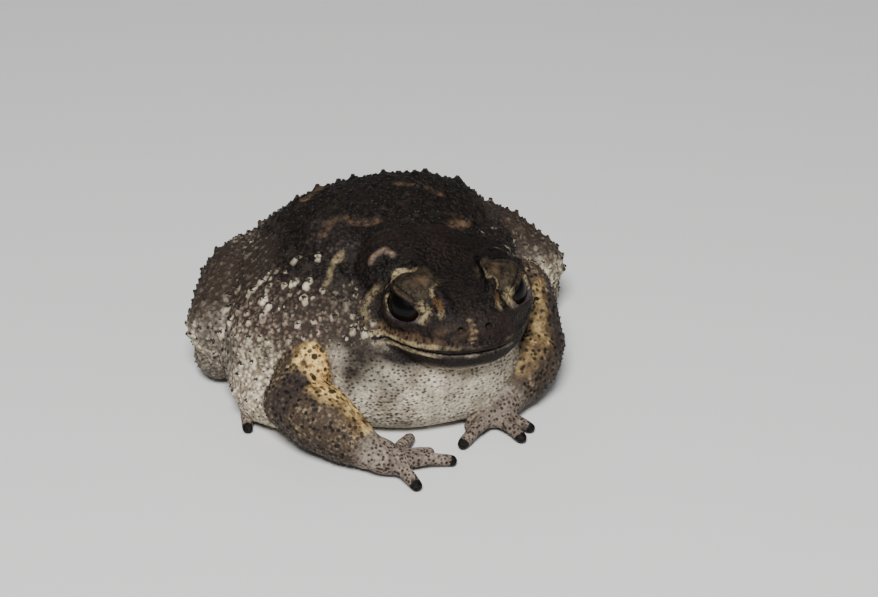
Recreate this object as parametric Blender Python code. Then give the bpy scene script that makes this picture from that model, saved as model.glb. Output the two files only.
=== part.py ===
"""Asian common toad, a still life-size adult sitting puffed up on straightened arms.

The toad faces -Y, its left side is +X and the ground is z = 0. Sizes are in millimetres
until a shape is built, when MM turns them into Blender's metres. Each part of the body is
modelled like clay: plain closed forms are laid into each other, melted into one surface by
a voxel remesh, smoothed and thinned, and then parted from its neighbour by a thin gap.
"""
import math
import random

import bmesh
import bpy
from mathutils import Euler, Matrix, Vector

MM = 0.001

# Driving sizes of the animal, from which the others follow.
HEAD_WIDTH = 36.6
TRUNK_HALF_WIDTH = 34.2
EYE_RADIUS = 4.9
SKIN_GAP = 0.32

# Where the head sits: its origin is midway between the corners of the mouth.
HEAD_ORIGIN = (5.2, -21.5, 21.3)
HEAD_YAW = -3.0
HEAD_PITCH = -4.0
NECK_DEPTH = 3.0

SIDES = {"right": -1, "left": 1}

# Stations of the trunk, from the chest to the vent:
# y, middle, half width, height of the widest level, reach above it and below it.
TRUNK_STATIONS = [
    (-41.5, 0.5, 8.0, 10.0, 5.0, 5.5),
    (-38.5, -0.5, 15.5, 10.0, 9.5, 8.5),
    (-33.0, -3.0, 22.0, 10.0, 14.5, 10.2),
    (-26.0, -5.5, 29.5, 9.5, 20.5, 10.0),
    (-17.0, -7.5, 34.0, 9.0, 25.5, 9.5),
    (-6.0, -6.2, TRUNK_HALF_WIDTH, 10.0, 27.5, 10.5),
    (5.0, -4.0, 33.5, 11.0, 26.7, 11.5),
    (14.0, -3.0, 30.5, 11.5, 24.0, 12.0),
    (21.0, -2.0, 24.0, 11.5, 19.0, 11.5),
    (26.0, -1.0, 16.0, 11.5, 13.0, 10.0),
    (29.0, -1.0, 6.0, 11.5, 6.0, 6.0),
]
# How far the top of the back leans to the toad's left, over a belly that spreads to its right.
BACK_LEAN = 4.5

# Stations of the head in its own frame: y, half width at the mouth, reach above and below.
HEAD_STATIONS = [
    (-25.6, 3.0, 2.6, 1.6),
    (-24.8, 6.2, 5.6, 3.2),
    (-22.5, 9.0, 8.3, 4.8),
    (-18.5, 12.3, 10.2, 6.6),
    (-13.0, 15.1, 11.4, 8.6),
    (-7.0, 17.2, 12.2, 10.6),
    (0.0, HEAD_WIDTH / 2, 12.8, 12.5),
    (6.0, 18.4, 13.0, 13.0),
    (11.0, 15.4, 11.0, 11.0),
]

# The eyes look ahead and up; the lids' opening is an ellipse whose rear end is raised.
EYE_CENTRE = (10.3, -13.0, 7.0)
EYE_OPENING = (4.3, 3.4)
EYE_TILT = 28.0
GAZE = (0.62, -0.65, 0.44)

# Nostrils near the tip of the snout.
NOSTRIL_CENTRE = (3.0, -24.6, 5.2)
NOSTRIL_RADIUS = 0.75

# The parotoid gland in the head's frame, and how far its middle is sunk into the shoulder.
PAROTOID_CENTRE = (19.5, 10.0, 9.5)
PAROTOID_RADII = (5.6, 9.4, 4.5)
PAROTOID_ALONG = (0.3, 1.0, -0.2)
PAROTOID_SINK = 2.4

# Warts: how many each part carries, their size in millimetres and how far apart they keep,
# and the rings of one wart as shares of its radius: reach sideways, height.
WARTS = {"trunk": 76, "thigh_left": 7, "thigh_right": 7}
WART_SEED = 11
WART_SIDES = 6
WART_RADIUS = 1.25
WART_GROWTH = 0.75
WART_SPREAD = 1.9
WART_FLOOR = 7.0
CHEST_REACH = -26.0
WART_PROFILE = [(0.9, -0.9), (1.0, 0.05), (0.45, 0.62)]


def mm(point):
    """A point in millimetres as a vector in metres."""
    return Vector(point) * MM


def mirrored(point, side):
    """The same point on the left side (+1) or the right side (-1)."""
    return (point[0] * side, point[1], point[2])


def smooth_value(values, t):
    """Catmull-Rom value at t, where values[i] is reached at t = i."""
    last = len(values) - 1
    i = min(int(t), last - 1)
    u = t - i
    p0, p1 = values[max(i - 1, 0)], values[i]
    p2, p3 = values[i + 1], values[min(i + 2, last)]
    return 0.5 * (
        2 * p1
        + (p2 - p0) * u
        + (2 * p0 - 5 * p1 + 4 * p2 - p3) * u * u
        + (3 * p1 - p0 - 3 * p2 + p3) * u * u * u
    )


def smooth_row(rows, t):
    """Each column of rows read at t by smooth_value."""
    return [smooth_value(column, t) for column in zip(*rows)]


def frange(last, steps):
    """Evenly spaced numbers from 0 to last."""
    return [last * k / steps for k in range(steps + 1)]


# Building blocks: each adds one closed form to a bmesh.


def add_rings(bm, rings):
    """Joins rings of points into a closed tube with fanned ends."""
    loops = [[bm.verts.new(p) for p in ring] for ring in rings]
    for a, b in zip(loops, loops[1:]):
        for k in range(len(a)):
            n = (k + 1) % len(a)
            bm.faces.new((a[k], a[n], b[n], b[k]))
    for loop, flip in ((loops[0], True), (loops[-1], False)):
        middle = bm.verts.new(sum((v.co for v in loop), Vector()) / len(loop))
        for k in range(len(loop)):
            n = (k + 1) % len(loop)
            corners = (loop[n], loop[k], middle) if flip else (loop[k], loop[n], middle)
            bm.faces.new(corners)


def add_ball(bm, centre, radii, turn=(0, 0, 0), frame=Matrix(), around=24, rows=14):
    """An ellipsoid; centre and radii in millimetres, turn in degrees."""
    if isinstance(radii, (int, float)):
        radii = (radii,) * 3
    place = (
        frame
        @ Matrix.Translation(mm(centre))
        @ Euler([math.radians(a) for a in turn]).to_matrix().to_4x4()
        @ Matrix.Diagonal((*[r * MM for r in radii], 1))
    )
    bmesh.ops.create_uvsphere(bm, u_segments=around, v_segments=rows, radius=1, matrix=place)


def add_tube(bm, points, radii, frame=Matrix(), steps=5, sides=14, flat=1.0):
    """A round-ended tube through points; flat below 1 squashes it upwards."""
    count = (len(points) - 1) * steps
    spine = [frame @ mm(smooth_row(points, t)) for t in frange(len(points) - 1, count)]
    width = [smooth_value(radii, t) * MM for t in frange(len(points) - 1, count)]
    rings = []
    side = None
    for k, centre in enumerate(spine):
        along = (spine[min(k + 1, count)] - spine[max(k - 1, 0)]).normalized()
        if side is None:
            side = along.orthogonal()
            if abs(along.z) < 0.95:
                side = along.cross(Vector((0, 0, 1)))
        side = (side - along * side.dot(along)).normalized()
        up = side.cross(along) * flat
        rings.append(
            [
                centre + (side * math.cos(a) + up * math.sin(a)) * width[k]
                for a in [2 * math.pi * j / sides for j in range(sides)]
            ]
        )
    add_rings(bm, rings)
    for k in (0, count):
        place = Matrix.Translation(spine[k]) @ Matrix.Diagonal((1, 1, flat, 1))
        bmesh.ops.create_uvsphere(bm, u_segments=14, v_segments=10, radius=width[k], matrix=place)


def add_loft(bm, stations, ring_of, frame=Matrix(), steps=5):
    """A body lofted through stations; ring_of turns one station into points."""
    last = len(stations) - 1
    rings = []
    for t in frange(last, last * steps):
        rings.append([frame @ p for p in ring_of(smooth_row(stations, t))])
    add_rings(bm, rings)


def squared(value, power):
    """Sine or cosine raised for a superellipse, keeping its sign."""
    return math.copysign(abs(value) ** (2 / power), value)


def section(y, middle, half_width, level, above, below, powers, lean=0.0, count=40):
    """A closed cross-section, boxier above and below as the powers grow."""
    points = []
    for k in range(count):
        a = 2 * math.pi * k / count
        c, s = math.cos(a), math.sin(a)
        power = powers[0] if s > 0 else powers[1]
        reach = above if s > 0 else below
        across = middle + half_width * squared(c, power) + lean * max(s, 0)
        points.append(mm((across, y, level + reach * squared(s, power))))
    return points


def trunk_section(row):
    y, middle, half_width, level, above, below = row
    return section(y, middle, half_width, level, above, below, (2.3, 2.5), BACK_LEAN)


def head_section(row):
    y, half_width, above, below = row
    return section(y, 0.0, half_width, 0.0, above, below, (2.9, 2.2))


def head_frame():
    """The head's own frame: pitched snout down and turned to the toad's left."""
    turn = Euler((math.radians(HEAD_PITCH), 0, math.radians(HEAD_YAW)))
    return Matrix.Translation(mm(HEAD_ORIGIN)) @ turn.to_matrix().to_4x4()


# Turning clay into a finished surface.


def object_from(bm, name, material=None):
    mesh = bpy.data.meshes.new(name)
    bmesh.ops.recalc_face_normals(bm, faces=bm.faces)
    bm.to_mesh(mesh)
    bm.free()
    obj = bpy.data.objects.new(name, mesh)
    bpy.context.scene.collection.objects.link(obj)
    if material:
        mesh.materials.append(material)
    return obj


def bake(obj):
    """Applies the object's modifiers."""
    bpy.context.view_layer.update()
    graph = bpy.context.evaluated_depsgraph_get()
    mesh = bpy.data.meshes.new_from_object(obj.evaluated_get(graph))
    obj.modifiers.clear()
    old = obj.data
    obj.data = mesh
    bpy.data.meshes.remove(old)


def melt(obj, voxel, passes):
    """Melts overlapping forms into one smooth closed surface."""
    remesh = obj.modifiers.new("melt", "REMESH")
    remesh.mode = "VOXEL"
    remesh.voxel_size = voxel * MM
    bake(obj)
    smooth = obj.modifiers.new("smooth", "SMOOTH")
    smooth.factor = 0.5
    smooth.iterations = passes
    bake(obj)


def triangle_count(obj):
    return sum(len(p.vertices) - 2 for p in obj.data.polygons)


def thin(obj, triangles):
    """Reduces the surface to about that many triangles, most of them where it bends."""
    triangulate(obj)
    decimate = obj.modifiers.new("thin", "DECIMATE")
    decimate.ratio = min(1.0, triangles / triangle_count(obj))
    bake(obj)


def triangulate(obj):
    bm = bmesh.new()
    bm.from_mesh(obj.data)
    bmesh.ops.triangulate(bm, faces=bm.faces)
    bm.to_mesh(obj.data)
    bm.free()


def swollen(obj, by):
    """A hidden copy whose surface stands off by that many millimetres."""
    copy = bpy.data.objects.new(obj.name + "_room", obj.data.copy())
    bpy.context.scene.collection.objects.link(copy)
    copy.modifiers.new("stand_off", "DISPLACE")
    copy.modifiers["stand_off"].strength = by * MM
    copy.modifiers["stand_off"].mid_level = 0
    bake(copy)
    return copy


def combine(obj, other, operation):
    """One Boolean, applied, with the other object removed."""
    boolean = obj.modifiers.new(operation.lower(), "BOOLEAN")
    boolean.operation = operation
    boolean.solver = "MANIFOLD"
    boolean.object = other
    bake(obj)
    bpy.data.objects.remove(other)


def cut_clear(obj, neighbour, gap=SKIN_GAP):
    """Cuts obj back from its neighbour, so that the two meet face to face."""
    combine(obj, swollen(neighbour, gap), "DIFFERENCE")
    keep_largest(obj)


def keep_largest(obj):
    """Drops any scrap that a cut left beside the main body."""
    bm = bmesh.new()
    bm.from_mesh(obj.data)
    unseen = set(bm.verts)
    islands = []
    while unseen:
        island, edge_of = set(), [unseen.pop()]
        while edge_of:
            v = edge_of.pop()
            island.add(v)
            for e in v.link_edges:
                w = e.other_vert(v)
                if w in unseen:
                    unseen.remove(w)
                    edge_of.append(w)
        islands.append(island)
    main = max(islands, key=len)
    bmesh.ops.delete(bm, geom=[v for v in bm.verts if v not in main], context="VERTS")
    bm.to_mesh(obj.data)
    bm.free()


def part_by_plane(obj, name, point, normal, material, gap=SKIN_GAP):
    """Parts obj at a plane: what lies along normal becomes a new object of that name."""
    point, normal = Vector(point), Vector(normal).normalized()
    far = bpy.data.objects.new(name, obj.data.copy())
    bpy.context.scene.collection.objects.link(far)
    far.data.name = name
    far.data.materials.clear()
    far.data.materials.append(material)
    for piece, sign in ((obj, 1), (far, -1)):
        bm = bmesh.new()
        bm.from_mesh(piece.data)
        where = point - normal * (sign * gap * MM / 2)
        cut = bmesh.ops.bisect_plane(
            bm,
            geom=bm.verts[:] + bm.edges[:] + bm.faces[:],
            dist=1e-7,
            plane_co=where,
            plane_no=normal * sign,
            clear_outer=True,
        )
        rim = [e for e in bm.edges if e.is_boundary]
        caps = bmesh.ops.holes_fill(bm, edges=rim, sides=0)["faces"]
        bmesh.ops.triangulate(bm, faces=caps)
        bm.to_mesh(piece.data)
        bm.free()
        keep_largest(piece)
    return far


def material(name, colour, roughness=0.6):
    made = bpy.data.materials.new(name)
    made.use_nodes = True
    shader = made.node_tree.nodes["Principled BSDF"]
    shader.inputs["Base Color"].default_value = (*colour, 1)
    shader.inputs["Roughness"].default_value = roughness
    made.diffuse_color = (*colour, 1)
    return made


def make_materials():
    return {
        "back_skin": material("back_skin", (0.07, 0.05, 0.035), 0.6),
        "head_skin": material("head_skin", (0.08, 0.055, 0.04), 0.5),
        "throat_skin": material("throat_skin", (0.42, 0.38, 0.31), 0.6),
        "limb_skin": material("limb_skin", (0.24, 0.17, 0.09), 0.6),
        "hand_skin": material("hand_skin", (0.30, 0.23, 0.17), 0.6),
        "gland_skin": material("gland_skin", (0.05, 0.04, 0.035), 0.6),
        "eye": material("eye", (0.01, 0.008, 0.006), 0.08),
    }


# The parts of the toad.


def eye_axes(side):
    """The opening's long axis towards the back, its short axis upwards and the gaze."""
    gaze = Vector(mirrored(GAZE, side)).normalized()
    level = gaze.cross(Vector((0, 0, -side))).normalized()
    rise = (Vector((0, 0, 1)) - gaze * gaze.z).normalized()
    tilt = math.radians(EYE_TILT)
    along = level * math.cos(tilt) + rise * math.sin(tilt)
    up = rise * math.cos(tilt) - level * math.sin(tilt)
    return along, up, gaze


def lid_edge(side, upper):
    """Points along the upper (1) or lower (-1) lid, on a ball just outside the eye."""
    across, up, gaze = eye_axes(side)
    points = []
    for degrees in (0, 40, 90, 140, 180):
        a = math.radians(degrees)
        rim = across * math.cos(a) * EYE_OPENING[0] + up * upper * math.sin(a) * EYE_OPENING[1]
        out = (rim * 1.12 + gaze * 3.6).normalized() * (EYE_RADIUS + 0.4)
        points.append(tuple(Vector(mirrored(EYE_CENTRE, side)) + out))
    return points


def head_clay(bm, frame):
    """The head with its crests, lids, lips and eardrums, laid over the lofted skull."""
    add_loft(bm, HEAD_STATIONS, head_section, frame)
    for side in SIDES.values():

        def at(*points):
            return [mirrored(p, side) for p in points]

        crest = at(
            (3.7, -22.6, 7.4),
            (5.2, -19.5, 10.3),
            (6.6, -15.8, 12.2),
            (6.3, -11.5, 13.2),
            (7.6, -6.6, 13.2),
            (11.0, -4.6, 12.0),
            (14.2, -3.2, 9.8),
        )
        add_tube(bm, crest, [0.5, 0.9, 1.0, 1.05, 1.05, 1.05, 0.9], frame)
        eye = mirrored(EYE_CENTRE, side)
        for upper, radius in ((1, 1.0), (-1, 0.8)):
            add_tube(bm, lid_edge(side, upper), [0.5, radius, radius, radius, 0.5], frame)
        lid = (eye[0] - 0.3 * side, eye[1] + 0.3, eye[2] + 0.6)
        add_ball(bm, lid, (6.1, 6.3, 5.7), (0, 0, 0), frame)
        add_ball(bm, (eye[0], eye[1], eye[2] - 1.0), (6.0, 6.2, 5.2), (0, 0, 0), frame)
        add_ball(bm, mirrored((16.3, -2.4, 5.6), side), (1.5, 2.6, 3.0), (0, 14 * side, 0), frame)
        add_ball(bm, mirrored((16.6, 1.2, -0.6), side), (2.2, 2.8, 2.2), (0, 0, 0), frame)
        for lip, drop in ((0.95, 0.0), (-1.0, 0.5)):
            edge = at(
                (17.7 - drop, -0.5, lip * 1.1),
                (17.0 - drop, -6.5, lip),
                (14.9 - drop, -12.8, lip),
                (12.0 - drop, -18.3, lip),
                (8.3 - drop, -22.4, lip),
                (4.2 - drop, -24.7, lip),
                (0.0, -25.3 + drop, lip),
            )
            add_tube(bm, edge, [0.8, 1.0, 1.05, 1.05, 1.0, 1.0, 1.0], frame)


def add_head_envelope(bm, frame):
    """The room that the head takes from the bust: its outline, grown to hold lids and crests."""
    rows = [(y, w + 1.5, above + 12.0, below + 0.6) for y, w, above, below in HEAD_STATIONS]
    front = (rows[0][0] - 3.0, *rows[0][1:])
    inside = [row for row in rows if row[0] < NECK_DEPTH]
    back = (NECK_DEPTH, *inside[-1][1:])
    add_loft(bm, [front, *inside, back], head_section, frame)


def make_bust(skins):
    """The head and trunk melted together, then parted into head, lower jaw and trunk."""
    frame = head_frame()
    bm = bmesh.new()
    add_loft(bm, TRUNK_STATIONS, trunk_section)
    head_clay(bm, frame)
    add_ball(bm, (0, -20, 31), (14, 13, 7), (14, 0, 0))
    add_ball(bm, (-28, -20.5, 6.5), (13.5, 13.5, 7.5))
    trunk = object_from(bm, "trunk", skins["back_skin"])
    melt(trunk, 0.55, 5)
    flat_on_ground(trunk)
    bm = bmesh.new()
    add_head_envelope(bm, frame)
    envelope = object_from(bm, "envelope")
    head = bpy.data.objects.new("head", trunk.data.copy())
    bpy.context.scene.collection.objects.link(head)
    head.data.materials[0] = skins["head_skin"]
    combine(trunk, swollen(envelope, SKIN_GAP), "DIFFERENCE")
    combine(head, envelope, "INTERSECT")
    keep_largest(trunk)
    keep_largest(head)
    mouth = frame @ mm((0, -12, 0))
    down = frame.to_3x3() @ Vector((0, 0, -1))
    jaw = part_by_plane(head, "lower_jaw", mouth, down, skins["throat_skin"])
    for piece, triangles in ((trunk, 2250), (head, 1900), (jaw, 520)):
        thin(piece, triangles)
    return {"trunk": trunk, "head": head, "jaw": jaw, "frame": frame}


def open_eyes(head, frame, skins):
    """Cuts the lids' openings and sockets, and sets the eyeballs into them."""
    for name, side in SIDES.items():
        centre = mirrored(EYE_CENTRE, side)
        bm = bmesh.new()
        add_ball(bm, centre, EYE_RADIUS, (0, 0, 0), frame, 18, 10)
        eye = object_from(bm, "eye_" + name, skins["eye"])
        triangulate(eye)
        bm = bmesh.new()
        turn = Matrix(eye_axes(side)).transposed().to_4x4()
        place = frame @ Matrix.Translation(mm(centre)) @ turn
        bmesh.ops.create_cone(
            bm,
            cap_ends=True,
            segments=28,
            radius1=1,
            radius2=1.25,
            depth=10 * MM,
            matrix=place
            @ Matrix.Translation((0, 0, 6 * MM))
            @ Matrix.Diagonal((EYE_OPENING[0] * MM, EYE_OPENING[1] * MM, 1, 1)),
        )
        combine(head, object_from(bm, "opening"), "DIFFERENCE")
        combine(head, swollen(eye, 0.3), "DIFFERENCE")
        keep_largest(head)


def pierce_nostrils(head, frame):
    """Sinks the two nostrils into the snout."""
    for side in SIDES.values():
        where = frame @ mm(mirrored(NOSTRIL_CENTRE, side))
        spot = head.closest_point_on_mesh(where)[1]
        bm = bmesh.new()
        add_ball(bm, spot / MM, NOSTRIL_RADIUS, around=10, rows=6)
        combine(head, object_from(bm, "nostril"), "DIFFERENCE")


ARM = {
    "right": {
        "shoulder": (-19.0, -20.0, 18.5),
        "elbow": (-31.9, -32.3, 9.8),
        "wrist": (-20.7, -47.2, 4.8),
        "palm": (-16.0, -50.5, 3.0),
        "tips": [(-9.0, -41.5), (-7.0, -48.0), (-3.5, -52.5), (-13.5, -58.5)],
    },
    "left": {
        "shoulder": (24.0, -20.5, 19.5),
        "elbow": (24.8, -29.8, 11.0),
        "wrist": (14.8, -38.5, 5.0),
        "palm": (10.0, -41.0, 3.0),
        "tips": [(4.5, -41.5), (0.8, -47.5), (13.3, -49.5), (16.5, -46.5)],
    },
}
LEG = {
    "right": {
        "hip": (-22.5, 18.0, 14.0),
        "knee": (-39.5, -2.0, 13.5),
        "ankle": (-24.0, 21.0, 5.0),
        "sole": (-34.5, -1.0, 2.6),
        "tips": [(-31.5, -13.0), (-34.5, -19.5), (-40.4, -26.0), (-38.5, -17.0), (-37.5, -10.0)],
    },
    "left": {
        "hip": (19.0, 17.5, 13.0),
        "knee": (36.0, 0.5, 13.0),
        "ankle": (20.0, 22.0, 5.0),
        "sole": (32.0, 3.0, 2.6),
        "tips": [(29.5, -9.0), (32.0, -14.0), (35.0, -17.0), (37.5, -13.5), (38.5, -6.0)],
    },
}
# Heights at which the tips of fingers and toes lie, so that their pads rest on the ground.
FINGER_HEIGHT = 1.3
TOE_HEIGHT = 1.2


def between(a, b, share, lift=0.0):
    """A point part of the way from a to b, raised by lift."""
    p = Vector(a).lerp(Vector(b), share)
    return (p.x, p.y, p.z + lift)


def flat_on_ground(obj, height=0.0):
    """Presses what would reach below the ground onto it."""
    for v in obj.data.vertices:
        v.co.z = max(v.co.z, height)


def make_arm(name, skins, bust):
    """Upper arm, forearm and four-fingered hand, parted at elbow and wrist."""
    a = ARM[name]
    shoulder, elbow, wrist, palm = a["shoulder"], a["elbow"], a["wrist"], a["palm"]
    bm = bmesh.new()
    add_tube(bm, [shoulder, between(shoulder, elbow, 0.5, 0.8), elbow], [7.0, 6.5, 5.8])
    forearm = [elbow, between(elbow, wrist, 0.35, 0.6), between(elbow, wrist, 0.75, 0.0), wrist]
    add_tube(bm, forearm, [6.0, 7.0, 5.6, 4.0])
    add_tube(bm, [wrist, between(wrist, palm, 0.6, 0.0), palm], [3.7, 4.3, 3.6], flat=0.72)
    for x, y in a["tips"]:
        add_digit(bm, palm, (x, y, FINGER_HEIGHT), [2.0, 1.75, 1.3, 1.2])
    arm = object_from(bm, "upper_arm_" + name, skins["limb_skin"])
    melt(arm, 0.45, 4)
    flat_on_ground(arm)
    upper, lower = Vector(elbow) - Vector(shoulder), Vector(wrist) - Vector(elbow)
    bend = upper.normalized() + lower.normalized()
    fore = part_by_plane(arm, "forearm_" + name, mm(elbow), bend, skins["limb_skin"])
    hand = part_by_plane(fore, "hand_" + name, mm(wrist), lower, skins["hand_skin"])
    for piece, triangles in ((arm, 400), (fore, 320), (hand, 500)):
        thin(piece, triangles)
    for piece in (arm, fore, hand):
        for body in ("trunk", "head", "jaw"):
            cut_clear(piece, bust[body])
    return [arm, fore, hand]


def add_digit(bm, root, tip, radii):
    """A finger or toe from its root to a rounded tip, slightly arched."""
    path = [root, between(root, tip, 0.3, 0.3), between(root, tip, 0.66, 0.5), tip]
    add_tube(bm, path, radii, flat=0.88)


def make_leg(name, skins, bust):
    """Folded thigh, shank and five-toed foot, each cut clear of what it lies against."""
    g = LEG[name]
    hip, knee, ankle, sole = g["hip"], g["knee"], g["ankle"], g["sole"]
    bm = bmesh.new()
    add_tube(bm, [hip, between(hip, knee, 0.5, 2.5), knee], [9.5, 9.8, 7.2])
    thigh = object_from(bm, "thigh_" + name, skins["limb_skin"])
    melt(thigh, 0.6, 6)
    thin(thigh, 440)
    bm = bmesh.new()
    low_knee = (knee[0], knee[1] - 0.5, knee[2] - 6.5)
    add_tube(bm, [low_knee, between(low_knee, ankle, 0.4, 0.5), ankle], [6.0, 6.0, 4.0])
    shank = object_from(bm, "shank_" + name, skins["limb_skin"])
    melt(shank, 0.6, 6)
    flat_on_ground(shank)
    thin(shank, 340)
    bm = bmesh.new()
    add_tube(bm, [ankle, between(ankle, sole, 0.5, 0.3), sole], [3.6, 3.2, 3.8], flat=0.7)
    for x, y in g["tips"]:
        add_digit(bm, sole, (x, y, TOE_HEIGHT), [1.9, 1.7, 1.3, 1.1])
    foot = object_from(bm, "foot_" + name, skins["hand_skin"])
    melt(foot, 0.45, 4)
    flat_on_ground(foot)
    thin(foot, 480)
    cut_clear(thigh, bust["trunk"])
    for neighbour in (bust["trunk"], thigh):
        cut_clear(shank, neighbour)
    for neighbour in (shank, thigh):
        cut_clear(foot, neighbour)
    cut_clear(bust["trunk"], foot)
    return [thigh, shank, foot]


def make_parotoid(name, side, skins, bust):
    """The long low poison gland behind the eye, a pad that follows the shoulder."""
    frame = bust["frame"]
    where = frame @ mm(mirrored(PAROTOID_CENTRE, side))
    _, spot, outward, _ = bust["trunk"].closest_point_on_mesh(where)
    along = frame.to_3x3() @ Vector(mirrored(PAROTOID_ALONG, side))
    along = (along - outward * along.dot(outward)).normalized()
    across = along.cross(outward)
    place = Matrix((across, along, outward)).transposed().to_4x4()
    place.translation = spot - outward * PAROTOID_SINK * MM
    bm = bmesh.new()
    add_ball(bm, (0, 0, 0), PAROTOID_RADII, (0, 0, 0), place, 20, 10)
    gland = object_from(bm, "parotoid_" + name, skins["gland_skin"])
    triangulate(gland)
    cut_clear(gland, bust["trunk"])
    cut_clear(bust["head"], gland)
    return gland


def make_wart(spot, outward, radius, name):
    """One low blunt cone whose root is sunk into the skin at spot."""
    bm = bmesh.new()
    place = outward.to_track_quat("Z", "Y").to_matrix().to_4x4()
    place.translation = spot
    rings = []
    for share, height in WART_PROFILE:
        ring = []
        for k in range(WART_SIDES):
            a = 2 * math.pi * k / WART_SIDES
            across = mm((math.cos(a) * radius * share, math.sin(a) * radius * share, radius * height))
            ring.append(place @ across)
        rings.append(ring)
    add_rings(bm, rings)
    return object_from(bm, name)


def bears_warts(face):
    """Warts grow on the back, flanks and thighs, not on the belly or the chest."""
    low = face.center.z < WART_FLOOR * MM or face.normal.z < -0.35
    chest = face.center.y < CHEST_REACH * MM and face.normal.y < -0.5
    return not low and not chest


def add_warts(obj, others, count, draw):
    """Scatters warts over the skin that shows, larger and sparser towards the back's ridge."""
    faces = [f for f in obj.data.polygons if bears_warts(f)]
    weights = [f.area for f in faces]
    spots = []
    herd = bpy.data.collections.new("warts_" + obj.name)
    for _ in range(count * 40):
        if len(spots) == count:
            break
        face = draw.choices(faces, weights)[0]
        spot, outward = face.center.copy(), face.normal.copy()
        high = min(1.0, max(0.0, (spot.z / MM - 16) / 18))
        radius = draw.uniform(0.8, 1.15) * (WART_RADIUS + WART_GROWTH * high)
        if any((spot - p).length < (radius + r) * WART_SPREAD * MM for p, r in spots):
            continue
        if any(distance_to(other, spot) < (radius + 1.2) * MM for other in others):
            continue
        spots.append((spot, radius))
        wart = make_wart(spot, outward, radius, "wart_%s_%d" % (obj.name, len(spots)))
        bpy.context.scene.collection.objects.unlink(wart)
        herd.objects.link(wart)
    union = obj.modifiers.new("warts", "BOOLEAN")
    union.operation = "UNION"
    union.operand_type = "COLLECTION"
    union.solver = "MANIFOLD"
    union.collection = herd
    bake(obj)
    for wart in list(herd.objects):
        bpy.data.objects.remove(wart)
    bpy.data.collections.remove(herd)
    keep_largest(obj)


def distance_to(obj, point):
    return (obj.closest_point_on_mesh(point)[1] - point).length


def build_toad():
    skins = make_materials()
    bust = make_bust(skins)
    open_eyes(bust["head"], bust["frame"], skins)
    pierce_nostrils(bust["head"], bust["frame"])
    for name, side in SIDES.items():
        gland = make_parotoid(name, side, skins, bust)
        arm = make_arm(name, skins, bust)
        cut_clear(arm[0], gland)
        make_leg(name, skins, bust)
    draw = random.Random(WART_SEED)
    for name, count in WARTS.items():
        obj = bpy.data.objects[name]
        others = [other for other in bpy.data.objects if other is not obj]
        add_warts(obj, others, count, draw)
    set_on_origin()
    for obj in bpy.context.scene.objects:
        obj.data.shade_smooth()


def set_on_origin():
    """Moves the whole toad so that the origin is under the middle of its box, on the ground."""
    corners = [v.co for obj in bpy.context.scene.objects for v in obj.data.vertices]
    low = Vector([min(c[axis] for c in corners) for axis in range(3)])
    high = Vector([max(c[axis] for c in corners) for axis in range(3)])
    base = Vector(((low.x + high.x) / 2, (low.y + high.y) / 2, low.z))
    for obj in bpy.context.scene.objects:
        obj.data.transform(Matrix.Translation(-base))


def clear_scene():
    for obj in list(bpy.data.objects):
        bpy.data.objects.remove(obj)


clear_scene()
build_toad()
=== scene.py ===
import itertools
import math
import random

import bpy
import numpy as np
from mathutils import Matrix, Vector, noise
from mathutils.bvhtree import BVHTree
from mathutils.kdtree import KDTree


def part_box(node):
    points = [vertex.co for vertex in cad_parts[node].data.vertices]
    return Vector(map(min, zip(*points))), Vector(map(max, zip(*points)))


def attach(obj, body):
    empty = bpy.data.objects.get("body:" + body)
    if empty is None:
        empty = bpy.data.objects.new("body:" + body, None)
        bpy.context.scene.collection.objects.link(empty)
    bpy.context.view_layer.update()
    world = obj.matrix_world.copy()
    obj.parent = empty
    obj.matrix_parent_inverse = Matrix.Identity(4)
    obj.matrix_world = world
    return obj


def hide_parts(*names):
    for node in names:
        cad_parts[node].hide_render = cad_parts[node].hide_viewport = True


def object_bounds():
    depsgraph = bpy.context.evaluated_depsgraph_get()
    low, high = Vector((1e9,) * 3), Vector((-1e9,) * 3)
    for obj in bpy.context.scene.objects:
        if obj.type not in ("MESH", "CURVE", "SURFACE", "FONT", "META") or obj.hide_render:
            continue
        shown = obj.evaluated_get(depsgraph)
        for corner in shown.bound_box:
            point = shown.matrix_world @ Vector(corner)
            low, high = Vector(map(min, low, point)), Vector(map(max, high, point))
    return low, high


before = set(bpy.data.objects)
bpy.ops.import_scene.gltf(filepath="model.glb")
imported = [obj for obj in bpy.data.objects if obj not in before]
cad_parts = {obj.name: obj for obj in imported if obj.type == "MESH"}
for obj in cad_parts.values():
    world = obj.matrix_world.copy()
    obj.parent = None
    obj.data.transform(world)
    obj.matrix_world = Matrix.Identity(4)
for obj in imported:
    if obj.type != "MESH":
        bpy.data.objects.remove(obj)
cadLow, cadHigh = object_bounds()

# The toad faces -Y, its left side is +X and the ground is z = 0.
# Sizes in the dictionaries are millimetres. Places on the body are in the model's frame, and
# places on the head in the head's own: origin midway between the corners of the mouth, x to
# its left, y backwards, z up. Both sides of the head share one list, given for the left side.
mm = 0.001
sides = {"right": -1, "left": 1}

headPose = {
    "eyeAside": 10.3,
    "eyeForward": 13.0,  # the eyes lie this far in front of the corners of the mouth
    "eyeRise": 7.0,      # and this far above the mouth line
    "pitch": -4.0,       # snout down, degrees
    "lipFront": (0.0, -25.9, 0.0),
}


def middleOf(node):
    low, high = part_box(node)
    return (low + high) / 2


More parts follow.
